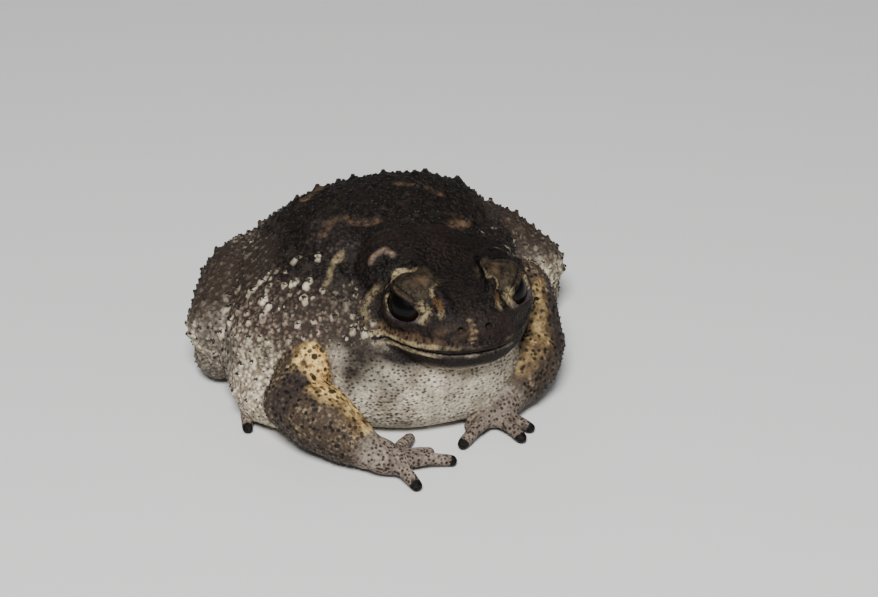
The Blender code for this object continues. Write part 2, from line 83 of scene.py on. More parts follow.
def findHead():
    leftEye, rightEye = middleOf("eye_left"), middleOf("eye_right")
    across = leftEye - rightEye
    yaw = math.atan2(across.y, across.x)
    pitch = math.radians(headPose["pitch"])
    turn = Matrix.Rotation(yaw, 3, "Z") @ Matrix.Rotation(pitch, 3, "X")
    ahead = Vector((0, -headPose["eyeForward"], headPose["eyeRise"])) * mm
    origin = (leftEye + rightEye) / 2 - turn @ ahead
    return Matrix.Translation(origin) @ turn.to_4x4()


headFrame = findHead()
headInverse = headFrame.inverted()


def onHead(point):
    return headFrame @ (Vector(point) * mm)


def flip(point, side):
    return (point[0] * side, point[1], point[2])


def selectOnly(*objects):
    if bpy.context.object and bpy.context.object.mode != "OBJECT":
        bpy.ops.object.mode_set(mode="OBJECT")
    bpy.ops.object.select_all(action="DESELECT")
    for obj in objects:
        obj.select_set(True)
    bpy.context.view_layer.objects.active = objects[0]


def addObject(name, data):
    obj = bpy.data.objects.new(name, data)
    bpy.context.scene.collection.objects.link(obj)
    return obj


def addBall(centre, radius, segments, rings):
    bpy.ops.object.select_all(action="DESELECT")
    bpy.ops.mesh.primitive_uv_sphere_add(
        segments=segments, ring_count=rings, radius=radius * mm, location=centre
    )
    bpy.ops.object.transform_apply(location=True, rotation=True, scale=True)
    return bpy.context.object


def addMaterial(obj, name):
    paint = bpy.data.materials.new(name)
    paint.use_nodes = True
    obj.data.materials.clear()
    obj.data.materials.append(paint)
    return paint.node_tree, paint.node_tree.nodes["Principled BSDF"]


def applyModifiers(obj):
    selectOnly(obj)
    for modifier in list(obj.modifiers):
        bpy.ops.object.modifier_apply(modifier=modifier.name)


# Camera, light and floor

viewSet = {
    "azimuth": -20.0,  # degrees round to the toad's right
    "elevation": 30.0,
    "focalPixels": 2160.0,
    "picture": (878, 597),
    "lipPixel": (476.9, 353.3),  # where the front of the lip lies in the photograph
    "lipDepth": 0.4474,
    "sensor": 36.0,
}


def makeCamera():
    azimuth, elevation = (math.radians(viewSet[k]) for k in ("azimuth", "elevation"))
    back = Vector((
        math.sin(azimuth) * math.cos(elevation),
        -math.cos(azimuth) * math.cos(elevation),
        math.sin(elevation),
    ))
    right = Vector((math.cos(azimuth), math.sin(azimuth), 0))
    up = back.cross(right)
    width, height = viewSet["picture"]
    px, py = viewSet["lipPixel"]
    perPixel = viewSet["lipDepth"] / viewSet["focalPixels"]
    data = bpy.data.cameras.new("camera")
    camera = addObject("camera", data)
    data.sensor_width = viewSet["sensor"]
    data.lens = viewSet["focalPixels"] / width * viewSet["sensor"]
    data.clip_start, data.clip_end = 0.01, 20
    lip = onHead(headPose["lipFront"])
    camera.location = (
        lip
        - right * (px - width / 2) * perPixel
        - up * (height / 2 - py) * perPixel
        + back * viewSet["lipDepth"]
    )
    camera.rotation_mode = "QUATERNION"
    camera.rotation_quaternion = back.to_track_quat("Z", "Y")
    bpy.context.scene.camera = camera


lightSet = {
    "key": {"at": (-0.22, -0.50, 0.66), "size": 0.26, "watts": 12.0},
    "fill": {"at": (0.75, -0.40, 0.45), "size": 0.6, "watts": 0.7},
    "rim": {"at": (0.1, 0.7, 0.6), "size": 0.5, "watts": 0.8},
    "world": (0.90, 0.92, 0.95, 1.0),
    "worldStrength": 0.14,
}


def makeLights():
    for name in ("key", "fill", "rim"):
        spec = lightSet[name]
        bpy.ops.object.light_add(type="AREA", location=spec["at"])
        lamp = bpy.context.object
        lamp.name = name
        lamp.data.shape = "DISK"
        lamp.data.size = spec["size"]
        lamp.data.energy = spec["watts"]
        lamp.rotation_mode = "QUATERNION"
        lamp.rotation_quaternion = Vector(spec["at"]).to_track_quat("Z", "Y")
    world = bpy.data.worlds.new("studio")
    world.use_nodes = True
    sky = world.node_tree.nodes["Background"]
    sky.inputs["Color"].default_value = lightSet["world"]
    sky.inputs["Strength"].default_value = lightSet["worldStrength"]
    bpy.context.scene.world = world


floorSet = {"size": 4.0, "colour": (0.70, 0.70, 0.69, 1.0), "roughness": 0.85}


def makeFloor():
    bpy.ops.mesh.primitive_plane_add(size=floorSet["size"], location=(0, 0, 0))
    floor = bpy.context.object
    floor.name = "floor"
    _, shader = addMaterial(floor, "floor paint")
    shader.inputs["Base Color"].default_value = floorSet["colour"]
    shader.inputs["Roughness"].default_value = floorSet["roughness"]


# Reading and moving many points at once


def readPoints(obj, field="co"):
    flat = np.empty(len(obj.data.vertices) * 3, np.float64)
    obj.data.vertices.foreach_get(field, flat)
    return flat.reshape(-1, 3)


def writePoints(obj, points):
    obj.data.vertices.foreach_set("co", points.astype(np.float32).ravel())
    obj.data.update()


def readEdges(obj):
    flat = np.empty(len(obj.data.edges) * 2, np.int64)
    obj.data.edges.foreach_get("vertices", flat)
    return flat.reshape(-1, 2)


def spreadOut(values, edges, rounds):
    # Averages each point's value with its neighbours', again and again
    a, b = edges[:, 0], edges[:, 1]
    count = len(values)
    links = np.maximum(np.bincount(a, minlength=count) + np.bincount(b, minlength=count), 1)
    columns = values.reshape(count, -1).astype(float)
    for _ in range(rounds):
        for c in range(columns.shape[1]):
            column = columns[:, c]
            total = np.bincount(a, column[b], count) + np.bincount(b, column[a], count)
            columns[:, c] = 0.5 * column + 0.5 * total / links
    return columns.reshape(values.shape)


def ramp(values, low, high):
    # 0 at low and 1 at high, smooth between, for low above high too
    t = np.clip((values - low) / (high - low), 0, 1)
    return t * t * (3 - 2 * t)


def distanceTo(points, path):
    # Distance of every point to a bent line
    path = np.atleast_2d(np.array(path, float))
    best = np.linalg.norm(points - path[0], axis=1)
    for start, end in zip(path, path[1:]):
        step = end - start
        t = np.clip(((points - start) @ step) / max(step @ step, 1e-9), 0, 1)
        best = np.minimum(best, np.linalg.norm(points - (start + t[:, None] * step), axis=1))
    return best


def inBall(points, centre, reach):
    # Distance from a centre, where 1 is the surface of an ellipsoid
    return np.linalg.norm((points - np.array(centre)) / np.array(reach), axis=1)


def grain(points, size, seed=0.0):
    # Smooth noise from -1 to 1 whose blobs are about size millimetres
    shift = Vector((seed, 0, 0))
    return np.array([noise.noise(Vector(p) + shift) for p in points / (size * mm)])


def headPoints(points):
    # The same points in millimetres of the head's frame
    turn = np.array(headInverse.to_3x3())
    shift = np.array(headInverse.translation)
    return (points @ turn.T + shift) / mm


# The skin: one closed surface over every part of flesh

skinSet = {
    "swell": 0.24,       # lets the parts grow together across their thin gaps
    "voxel": 0.38,
    "smoothRounds": 5,
    "bodyRounds": 10,    # rounds of averaging that soften the borders between parts
    "edgeRounds": 6,
    "calmRounds": 60,    # and that smooth the solids' own warts away
    "calmSpan": (0.4, 0.9),
    "wartFloor": 1.2,
    "grainHeight": 0.10,
    "grainSize": 3.0,
    "headCalm": 0.6,
    "floorGap": 0.02,
    "triangles": 196000,
}

# The upper lid hangs over half of the eyeball, and its edge slopes down to the front
lidSet = {
    "radius": 5.65,
    "facing": (-0.766, 0.228, 0.601),
    "drop": 0.9,
    "segments": 48,
    "folds": ((1.4, 0.35), (2.6, 0.2)),  # height above the edge and depth of each crease
}

fleshNodes = ["trunk", "head", "lower_jaw"] + [
    part + "_" + side
    for part in ("parotoid", "upper_arm", "forearm", "hand", "thigh", "shank", "foot")
    for side in sides
]
fleshParts = [name.replace("_left", "").replace("_right", "") for name in fleshNodes]


def copyNode(name):
    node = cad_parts[name]
    copy = addObject("flesh_" + name, node.data.copy())
    selectOnly(copy)
    bpy.ops.object.mode_set(mode="EDIT")
    bpy.ops.mesh.select_all(action="SELECT")
    bpy.ops.mesh.remove_doubles(threshold=1e-6)
    bpy.ops.object.mode_set(mode="OBJECT")
    return copy


def makeLid(name, side):
    centre = middleOf("eye_" + name)
    facing = headFrame.to_3x3() @ Vector(flip(lidSet["facing"], side)).normalized()
    lid = addBall(centre, lidSet["radius"], lidSet["segments"], lidSet["segments"] // 2)
    bpy.ops.object.mode_set(mode="EDIT")
    bpy.ops.mesh.select_all(action="SELECT")
    bpy.ops.mesh.bisect(
        plane_co=centre - facing * lidSet["drop"] * mm, plane_no=facing,
        use_fill=True, clear_inner=True,
    )
    bpy.ops.object.mode_set(mode="OBJECT")
    return lid


def joinFlesh():
    copies = [makeLid(name, side) for name, side in sides.items()]
    for name in fleshNodes:
        copy = copyNode(name)
        swell = copy.modifiers.new("swell", "DISPLACE")
        swell.strength = skinSet["swell"] * mm
        swell.mid_level = 0
        applyModifiers(copy)
        copies.append(copy)
    selectOnly(*copies)
    bpy.ops.object.join()
    skin = bpy.context.object
    skin.name = skin.data.name = "skin"
    melt = skin.modifiers.new("melt", "REMESH")
    melt.mode = "VOXEL"
    melt.voxel_size = skinSet["voxel"] * mm
    smooth = skin.modifiers.new("smooth", "SMOOTH")
    smooth.factor = 0.5
    smooth.iterations = skinSet["smoothRounds"]
    applyModifiers(skin)
    return skin


def labelRegions(points):
    # For every point, the number of the node of flesh that it belongs to
    corners, faces, owner = [], [], []
    for index, name in enumerate(fleshNodes):
        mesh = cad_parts[name].data
        base = len(corners)
        corners += [v.co for v in mesh.vertices]
        faces += [[base + i for i in p.vertices] for p in mesh.polygons]
        owner += [index] * len(mesh.polygons)
    tree = BVHTree.FromPolygons(corners, faces)
    return np.array([owner[tree.find_nearest(Vector(p))[2]] for p in points])


def regionMask(labels, parts):
    wanted = [k for k, part in enumerate(fleshParts) if part in parts]
    return np.isin(labels, wanted).astype(float)


# Warts

wartSet = {
    "seed": 7,
    "cell": 4.0,            # size of the grid in which neighbours are looked up
    "foundHeight": 0.28,    # a bump of the solids at least this high becomes a wart
    "foundRadius": 1.35,
    "foundSpread": (0.8, 1.15),
    "foundRoom": 2.4,       # how far such warts keep from the ones before them
    "foundGap": 1.7,        # and the later ones from them, as a multiple of the radius
    "foundAllowed": 0.6,
    "allowed": 0.5,
    # radius, gap as a multiple of it, height as a share of it, length over width, paleness
    "back": {"radius": (0.55, 1.0), "gap": 2.1, "height": 0.4, "long": 1.15, "tone": 0.03},
    "flank": {"radius": (0.5, 1.0), "gap": 2.1, "height": 0.55, "long": 1.6, "tone": 0.95},
    "low": {"radius": (0.42, 0.75), "gap": 1.85, "height": 0.5, "long": 1.3, "tone": 0.7},
    "belly": {"radius": (0.38, 0.52), "gap": 1.8, "height": 0.4, "long": 1.0, "tone": 0.5},
    "arm": {"radius": (0.35, 0.6), "gap": 2.4, "height": 0.45, "long": 1.0, "tone": 0.0},
    "gland": {"radius": (0.38, 0.6), "gap": 1.9, "height": 0.5, "long": 1.0, "tone": 0.02},
    "gapSpread": (0.85, 1.2),
    "brightShare": 0.22,    # so many of the drawn warts are pale
    "bright": (0.5, 0.8),   # paleness of these and of the rest, as shares of their zone's
    "dull": (0.1, 0.4),
    "wobble": 0.55,         # how far the edge of the pale spot strays
    # Warts that the photograph shows in a place of their own: place, radius, paleness. Those
    # of the cheek are in the head's frame, those of the flank are given for the right side
    # and are smaller and darker on the left.
    "cheekScale": 1.2,
    "sideScale": 1.25,
    "leftShare": 0.7,
    "ownGap": 1.5,
    "cheek": [
        ((-22.6, -6.2, 5.7), 1.3, 0.25), ((-20.2, -9.8, 2.9), 1.15, 0.9),
        ((-20.4, -11.2, 0.9), 1.05, 0.9), ((-18.8, -11.4, 0.7), 0.8, 0.8),
        ((-21.9, -9.0, 0.9), 1.1, 0.6), ((-21.6, -8.2, 4.2), 0.9, 0.5),
        ((20.2, -9.8, 2.9), 1.1, 0.5), ((20.4, -11.2, 0.9), 1.0, 0.5),
    ],
    "side": [
        ((-32.6, 4.1, 25.3), 1.45, 1.0), ((-31.5, -0.7, 25.7), 1.3, 0.95),
        ((-22.5, -4.3, 29.8), 1.3, 1.0), ((-24.9, -2.2, 29.6), 1.15, 0.9),
        ((-30.1, 3.9, 27.6), 1.3, 1.0), ((-34.1, 9.8, 23.0), 1.15, 0.9),
        ((-36.3, 11.2, 20.7), 1.1, 0.9), ((-37.0, 8.7, 19.1), 1.2, 0.95),
        ((-37.3, 4.6, 18.7), 1.35, 1.0), ((-39.2, 6.3, 15.4), 1.1, 0.85),
        ((-35.7, -4.2, 19.0), 1.15, 0.8), ((-24.3, -7.2, 28.0), 1.1, 0.9),
        ((-30.7, -3.1, 25.4), 1.0, 0.9), ((-18.7, 0.2, 33.0), 1.1, 0.75),
        ((-35.8, -7.1, 14.8), 1.1, 0.85), ((-37.9, -4.9, 13.4), 1.1, 0.8),
        ((-32.7, -7.6, 19.6), 0.9, 0.7), ((-28.3, 2.2, 28.9), 0.9, 0.7),
        ((-40.1, 17.3, 20.9), 1.0, 0.6), ((-19.1, -12.3, 25.4), 1.0, 0.55),
        ((-23.0, 2.5, 31.9), 1.2, 0.5), ((-28.6, -10.5, 20.7), 0.9, 0.5),
        ((-40.8, 7.3, 10.3), 0.9, 0.6),
    ],
}


zoneFloors = {"back": 30.5, "flank": 12.0, "low": 4.5}


def zoneOf(point, part):
    if part == "parotoid":
        return "gland"
    if part in ("upper_arm", "forearm"):
        return "arm"
    for zone, lowest in zoneFloors.items():
        if point[2] / mm > lowest:
            return zone
    return "belly"


def placeWarts(points, normals, labels, height, allowed):
    # Warts with a place of their own come first, then those found in the solids, and a seeded
    # draw fills the skin between them
    draw = random.Random(wartSet["seed"])
    warts = []
    cell = wartSet["cell"] * mm
    steps = list(itertools.product((0, -1, 1), repeat=3))
    grid = {}
    spots = points.tolist()

    def crowded(i, reach):
        x, y, z = spots[i]
        cx, cy, cz = int(x // cell), int(y // cell), int(z // cell)
        for key in ((cx + dx, cy + dy, cz + dz) for dx, dy, dz in steps):
            for (ox, oy, oz), gap in grid.get(key, ()):
                if (x - ox) ** 2 + (y - oy) ** 2 + (z - oz) ** 2 < max(reach, gap) ** 2:
                    return True
        return False

    def keep(i, zone, radius, gap, tone=None):
        spec = wartSet[zone]
        grid.setdefault(tuple(int(c // cell) for c in spots[i]), []).append((spots[i], gap))
        bright = draw.random() < wartSet["brightShare"]
        share = draw.uniform(*wartSet["bright" if bright else "dull"])
        warts.append({
            "at": points[i],
            "up": normals[i],
            "radius": radius,
            "rise": radius * spec["height"],
            "long": spec["long"],
            "tone": spec["tone"] * share if tone is None else tone,
            "zone": zone,
        })

    own = [
        (onHead(place), radius * wartSet["cheekScale"], tone)
        for place, radius, tone in wartSet["cheek"]
    ]
    for side in sides.values():
        share = 1.0 if side < 0 else wartSet["leftShare"]
        own += [
            (Vector(flip(place, -side)) * mm, radius * share * wartSet["sideScale"], tone * share)
            for place, radius, tone in wartSet["side"]
        ]
    for place, radius, tone in own:
        i = int(np.argmin(np.linalg.norm(points - np.array(place), axis=1)))
        keep(i, "flank", radius * mm, radius * wartSet["ownGap"] * mm, tone)
    tall = int((height > wartSet["foundHeight"] * mm).sum())
    for i in np.argsort(-height)[:tall]:
        if allowed[i] < wartSet["foundAllowed"] or crowded(i, wartSet["foundRoom"] * mm):
            continue
        zone = zoneOf(points[i], fleshParts[labels[i]])
        radius = wartSet["foundRadius"] * draw.uniform(*wartSet["foundSpread"]) * mm
        keep(i, zone, radius, radius * wartSet["foundGap"])
    order = list(range(len(points)))
    draw.shuffle(order)
    for i in order:
        if allowed[i] < wartSet["allowed"]:
            continue
        zone = zoneOf(points[i], fleshParts[labels[i]])
        spec = wartSet[zone]
        radius = draw.uniform(*spec["radius"]) * mm
        gap = radius * spec["gap"] * draw.uniform(*wartSet["gapSpread"])
        if not crowded(i, gap):
            keep(i, zone, radius, gap)
    return warts


def wartField(points, warts):
    # For every point: how far inside its nearest wart it is, and that wart's number
    tree = KDTree(len(warts))
    for k, wart in enumerate(warts):
        tree.insert(Vector(wart["at"]), k)
    tree.balance()
    near = np.array([[k for _, k, _ in tree.find_n(Vector(p), 4)] for p in points])
    at = np.array([w["at"] for w in warts])
    up = np.array([w["up"] for w in warts])
    radius = np.array([w["radius"] for w in warts])
    long = np.array([w["long"] for w in warts])
    down = np.array([0.0, 0.0, -1.0]) - up * -up[:, 2:3]
    down /= np.maximum(np.linalg.norm(down, axis=1), 1e-6)[:, None]
    inside = np.zeros(len(points))
    number = np.zeros(len(points), int)
    for column in near.T:
        step = points - at[column]
        along = (step * down[column]).sum(1)
        rest = np.sqrt(np.maximum((step ** 2).sum(1) - along ** 2, 0))
        stretch = np.sqrt(long[column])
        depth = 1 - np.sqrt((along / stretch) ** 2 + (rest * stretch) ** 2) / radius[column]
        better = depth > inside
        inside[better] = depth[better]
        number[better] = column[better]
    return inside, number


# Features of the head: paths and places in its own frame, and ellipsoids with their reaches

headSet = {
    "crest": [(3.7, -22.6, 7.4), (5.2, -19.5, 10.3), (6.6, -15.8, 12.2), (6.3, -11.5, 13.2),
              (7.6, -6.6, 13.2), (11.0, -4.6, 12.0), (14.2, -3.2, 9.8)],
    "mouth": [(17.9, 0.5, 0.0), (17.2, -6.5, 0.0), (15.2, -12.8, 0.0), (12.3, -18.4, 0.0),
              (8.7, -22.8, 0.0), (4.3, -25.3, 0.0), (0.0, -26.0, 0.0)],
    "nostril": (3.0, -24.8, 5.2),
    "eardrum": ((17.6, -2.2, 5.6), (2.0, 2.3, 2.7)),
    "lid": ((9.0, -13.6, 11.4), (4.9, 5.2, 4.0)),
    "brow": [(15.8, -3.1, 13.3), (14.6, -2.2, 14.3), (12.9, -2.3, 15.0), (11.6, -4.0, 14.6)],
    "browHollow": (13.8, -4.6, 13.4),
    "snoutLine": [(-0.7, -24.2, 6.6), (-0.4, -25.1, 4.7), (-1.0, -25.7, 2.9)],
    "streak": [(15.9, -7.3, 8.9), (17.2, -6.5, 7.2), (18.5, -7.1, 5.7), (19.4, -8.7, 4.2),
               (20.2, -9.8, 2.5)],
}


reliefSet = {
    # Ridges and grooves: where the middle lies, the height and the width
    "crest": (0.0, 0.30, 0.7),
    "mouth": (0.0, -0.8, 0.34),
    "lip": (1.4, 0.25, 0.8),
    "nostrilRim": (1.2, 0.25, 0.45),
    "eardrumRim": (1.0, 0.22, 0.16),
    "brow": (0.0, 0.55, 0.8),
    "streak": (0.0, 0.45, 1.1),
    "foldWidth": 0.32,
    # Pits: the depth, and the distances at which they begin and are deepest
    "nostrilPit": (0.7, 0.8, 0.3),
    "eardrumPit": (0.25, 0.9, 0.3),
    "browPit": (0.5, 1.5, 0.4),
    # Distances from the mouth line and from the eye's middle at which their forms fade in
    "mouthReach": (3.2, 1.8),
    "eyeReach": (7.4, 6.4),
}


def foldOver(local):
    # The same points with the right side of the head laid on the left
    return np.column_stack((np.abs(local[:, 0]), local[:, 1], local[:, 2]))


def ridge(distance, middle, height, width):
    return height * np.exp(-((distance - middle) / width) ** 2)


def pit(distance, depth, start, end):
    return -depth * ramp(distance, start, end)


def aboveLid(folded):
    # Height above the edge of the upper lid, and how near a point is to the eyeball
    eye = (headPose["eyeAside"], -headPose["eyeForward"], headPose["eyeRise"])
    away = folded - np.array(eye)
    height = away @ np.array(lidSet["facing"]) + lidSet["drop"]
    return height, ramp(np.linalg.norm(away, axis=1), *reliefSet["eyeReach"])


def shapeHead(local, headMask):
    # How far each point of the head rises or sinks, in millimetres
    form = reliefSet
    height, nearEye = aboveLid(foldOver(local))
    lift = np.zeros(len(local))
    for at, depth in lidSet["folds"]:
        lift -= nearEye * ridge(height, at, depth, form["foldWidth"])
    wide = np.zeros(len(local))
    for side in sides.values():
        own = local * (side, 1, 1)
        lift += ridge(distanceTo(own, headSet["crest"]), *form["crest"])
        near = ramp(distanceTo(own, headSet["mouth"]), *form["mouthReach"])
        lift += near * ridge(local[:, 2], *form["mouth"])
        lift += near * ridge(local[:, 2], *form["lip"])
        hole = distanceTo(own, headSet["nostril"])
        lift += ridge(hole, *form["nostrilRim"]) + pit(hole, *form["nostrilPit"])
        ring = inBall(own, *headSet["eardrum"])
        lift += ridge(ring, *form["eardrumRim"]) + pit(ring, *form["eardrumPit"])
        wide += ridge(distanceTo(own, headSet["brow"]), *form["brow"])
        wide += pit(distanceTo(own, headSet["browHollow"]), *form["browPit"])
        wide += ridge(distanceTo(own, headSet["streak"]), *form["streak"])
    return lift * headMask + wide


def wartLift(points, warts):
    # Each wart is a dome with a steeper cap on it
    inside, number = wartField(points, warts)
    rise = np.array([w["rise"] for w in warts])[number]
    dome = (1 - (1 - inside) ** 2) ** 1.5
    return rise * (0.75 * dome + 0.35 * ramp(inside, 0.5, 1.0)) * (inside > 0)


def makeSkin():
    skin = joinFlesh()
    points, edges = readPoints(skin), readEdges(skin)
    normals = readPoints(skin, "normal")
    print("skin melted:", len(points), "points")
    labels = labelRegions(points)
    body = spreadOut(regionMask(labels, ("trunk", "thigh")), edges, skinSet["bodyRounds"])
    headMask = spreadOut(regionMask(labels, ("head", "lower_jaw")), edges, skinSet["edgeRounds"])
    calm = spreadOut(points, edges, skinSet["calmRounds"])
    height = ((points - calm) * normals).sum(1) * body
    smoothed = points + (calm - points) * ramp(body, *skinSet["calmSpan"])[:, None]
    writePoints(skin, smoothed)
    normals = readPoints(skin, "normal")
    warty = ("trunk", "thigh", "parotoid", "shank", "upper_arm", "forearm")
    allowed = spreadOut(regionMask(labels, warty), edges, skinSet["edgeRounds"])
    allowed *= smoothed[:, 2] > skinSet["wartFloor"] * mm
    allowed *= 1 - throatMask(smoothed)
    warts = placeWarts(smoothed, normals, labels, height, allowed)
    print("warts:", len(warts))
    lift = wartLift(smoothed, warts)
    lift += shapeHead(headPoints(smoothed), headMask) * mm
    rough = skinSet["grainHeight"] * mm * grain(smoothed, skinSet["grainSize"])
    lift += rough * (1 - headMask * skinSet["headCalm"])
    moved = smoothed + normals * lift[:, None]
    moved[:, 2] = np.maximum(moved[:, 2], cadLow.z + skinSet["floorGap"] * mm)
    writePoints(skin, moved)
    thin = skin.modifiers.new("thin", "DECIMATE")
    thin.ratio = skinSet["triangles"] / sum(len(p.vertices) - 2 for p in skin.data.polygons)
    applyModifiers(skin)
    skin.data.shade_smooth()
    print("skin thinned:", len(skin.data.polygons), "faces")
    return skin, warts


# Where each colour of the skin lies. A stroke is a path, the distances from it at which the
# colour is full and gone, and its strength where that isn't 1.

tips = [
    (-2.1, -37.6, 1.3), (-12.1, -43.6, 1.3), (2.2, -32.6, 1.3), (14.7, -34.6, 1.3),
    (17.9, -31.6, 1.2), (-39.0, -11.1, 1.2), (-37.1, -2.1, 1.0), (36.4, -2.1, 1.1),
]  # black tips of fingers and toes: place and radius
markSet = {
    "tips": [([(x, y, 1.2)], radius, radius + 0.4) for x, y, radius in tips],
    "blackHead": [
        # Black edge of the crest round the eye with painted shade of the groove inside it, and painted
        # shade in the hollow behind the eye; then two short black lines in front of the eye
        ([(14.5, -5.4, 11.8), (13.8, -6.0, 12.6), (11.5, -6.4, 13.3), (8.6, -7.3, 13.6),
          (6.4, -9.6, 13.7), (5.0, -12.5, 12.7), (4.6, -15.6, 11.7), (4.8, -19.0, 11.0),
          (4.2, -21.3, 9.5), (3.6, -23.0, 7.8)], 0.5, 1.2),
        ([(13.8, -4.6, 13.4)], 0.5, 1.3),
        ([(7.4, -20.2, 9.0), (8.1, -20.9, 7.6)], 0.15, 0.4),
        ([(6.9, -21.4, 8.2), (7.6, -21.9, 6.9)], 0.15, 0.4),
    ],
    "creamHead": [
        ([(13.4, -9.6, 12.2), (12.0, -8.3, 12.6), (10.4, -8.4, 13.2)], 0.4, 1.4, 0.95),
        ([(10.4, -8.4, 13.2), (8.6, -9.4, 13.6)], 0.1, 1.1, 0.6),
        ([(6.0, -13.5, 12.8), (6.2, -16.5, 12.0), (6.9, -18.6, 10.6)], 0.0, 0.9, 0.6),
        ([(14.0, -10.6, 10.8), (15.1, -11.9, 9.0), (15.5, -13.6, 7.0)], 0.0, 0.8, 0.8),
        ([(9.8, -18.0, 8.8), (8.6, -19.4, 7.8), (9.4, -19.7, 6.6)], 0.0, 2.0, 0.6),
        ([(6.3, -21.6, 8.0)], 0.4, 1.8, 0.4),
        ([(16.0, -7.4, 9.0), (17.6, -6.8, 6.8), (19.0, -8.0, 4.6), (20.0, -9.6, 2.8)], 0.0, 1.5, 0.4),
    ],
    "creamSnout": [(headSet["snoutLine"], 0.0, 0.6, 0.4)],
    "ring": [(headSet["brow"], 0.0, 1.7, 0.9)],
    "tanHead": [([(8.8, -13.2, 14.0), (8.0, -15.4, 13.3)], 0.2, 1.8, 0.6)],
    "snoutStripe": [
        (headSet["snoutLine"], 0.1, 0.9, 0.6),
        ([(-7.0, -23.4, 5.0), (-3.6, -25.0, 5.4), (-1.8, -25.4, 4.6)], 0.2, 3.2, 0.28),
    ],
    "orangeHead": [([(6.2, -19.5, 10.0), (6.1, -20.6, 8.9)], 0.0, 1.9, 0.5)],
    "oliveHead": [
        ([(15.6, -8.0, 9.6), (17.2, -6.5, 7.2), (18.5, -7.1, 5.7), (19.8, -9.2, 3.2)], 0.6, 1.5),
    ],
    "lilacHead": [
        ([(14.9, -14.5, 6.6), (13.4, -16.7, 5.2), (11.5, -18.3, 5.0), (10.3, -19.3, 6.4)], 0.3, 1.3),
    ],
    "tanBack": [
        ([(5.8, 19.6, 37.4), (9.8, 16.4, 37.0), (13.5, 13.2, 36.4)], 0.2, 2.4),
        ([(-15.6, 4.6, 36.4), (-13.0, 7.4, 36.8), (-10.3, 9.5, 36.8)], 0.3, 2.6),
        ([(-9.0, 6.6, 36.6), (-4.1, 4.7, 36.6)], 0.2, 2.3),
        ([(11.4, -0.9, 36.1), (15.0, 3.0, 35.4)], 0.6, 3.4),
        ([(18.0, 26.0, 31.0), (13.0, 30.0, 30.0)], 0.6, 2.0),
        ([(-14.0, 24.0, 34.0), (-9.0, 28.0, 33.0)], 0.6, 2.0),
    ],
    "creamBody": [
        ([(-14.2, -1.8, 34.4), (-15.5, -2.3, 33.0)], 0.2, 1.5, 0.95),
        ([(-15.5, -2.3, 33.0), (-17.2, -4.0, 31.8), (-19.0, -5.9, 30.2)], 0.1, 1.4, 0.85),
    ],
    "armGlow": [
        ([(-20.0, -18.0, 18.0), (-24.0, -17.0, 18.5), (-23.0, -22.0, 14.0)], 2.5, 7.5),
        ([(-22.0, -22.0, 14.0), (-21.0, -27.0, 10.5), (-19.0, -31.0, 8.0)], 0.5, 6.0, 0.5),
        ([(27.8, -11.9, 22.8), (24.8, -20.3, 15.7), (19.3, -23.7, 12.5)], 0.5, 4.5, 0.35),
    ],
    # Dark skin of the right elbow and forearm, and painted shade over the left arm
    "armDarkAndShade": [
        ([(-30.0, -20.0, 16.5), (-33.0, -20.5, 11.5)], 1.0, 5.0),
        ([(-33.0, -22.0, 8.0), (-30.0, -31.0, 5.0), (-24.0, -37.0, 3.0)], 0.5, 5.0, 0.6),
        ([(33.0, -12.0, 18.0), (32.0, -18.0, 11.0)], 3.0, 9.0, 0.9),
    ],
    # Painted shade over the rear of both flanks and thighs, and over the left hand and arm
    "murk": [
        ([(-36.0, 24.0, 22.0), (-40.1, 17.3, 20.9), (-33.0, 14.0, 28.0)], 4.0, 13.0),
        ([(36.0, 24.0, 22.0), (40.1, 17.3, 20.9), (33.0, 14.0, 28.0)], 4.0, 13.0),
        ([(9.0, -31.0, 3.0), (18.0, -25.0, 6.0), (27.0, -17.0, 15.0)], 6.0, 12.0, 0.35),
    ],
    "legPatch": [([(-40.7, 6.6, 15.0), (-40.1, 0.8, 12.0)], 3.0, 6.5)],
    # Painted shade on the right of the throat and chest; it joins the painted shade under the lip
    "violetShade": [
        ([(-13.6, -20.1, 18.8), (-13.7, -22.3, 15.2), (-10.7, -24.4, 13.3)], 0.0, 5.5, 0.55),
        ([(-11.3, -21.7, 17.8), (-6.0, -24.0, 17.5)], 0.0, 4.0, 0.5),
    ],
    # Painted shadow in the folds between the arms and the throat
    "armpit": [
        ([(-16.8, -16.4, 21.8), (-15.6, -18.6, 19.6), (-17.5, -19.3, 16.0)], 0.6, 5.8),
        ([(-17.5, -19.3, 16.0), (-18.8, -19.8, 12.0)], 0.0, 4.5, 0.7),
        ([(23.0, -15.0, 22.0), (20.5, -18.5, 14.0)], 0.5, 4.0, 0.7),
    ],
}


def laidDown(points, path):
    # The same path, drawn on the skin: each place moves to the nearest point of it
    if len(path) == 1:
        return path
    places = [np.array(path[0], float)]
    for start, end in zip(path, path[1:]):
        places += [np.array(start) + (np.array(end) - start) * t for t in (0.33, 0.67, 1.0)]
    return [points[np.argmin(((points - p) ** 2).sum(1))] for p in places]


def strokes(points, name, mirror=False):
    total = np.zeros(len(points))
    for path, inner, outer, *strength in markSet[name]:
        for side in sides.values() if mirror else (1,):
            own = laidDown(points, [flip(p, side) for p in path])
            reach = ramp(distanceTo(points, own), outer, inner)
            total = np.maximum(total, reach * (strength[0] if strength else 1.0))
    return total


def throatMask(points):
    x, y, z = (points / mm).T
    mask = ramp(y, -11.0, -18.0) * ramp(z, 23.0, 19.0) * ramp(x, -23.0, -19.0)
    return mask * ramp(x, 24.0, 20.0)


def storeMask(obj, name, values):
    attribute = obj.data.attributes.new(name, "FLOAT", "POINT")
    attribute.data.foreach_set("value", np.clip(values, 0, 1).astype(np.float32))


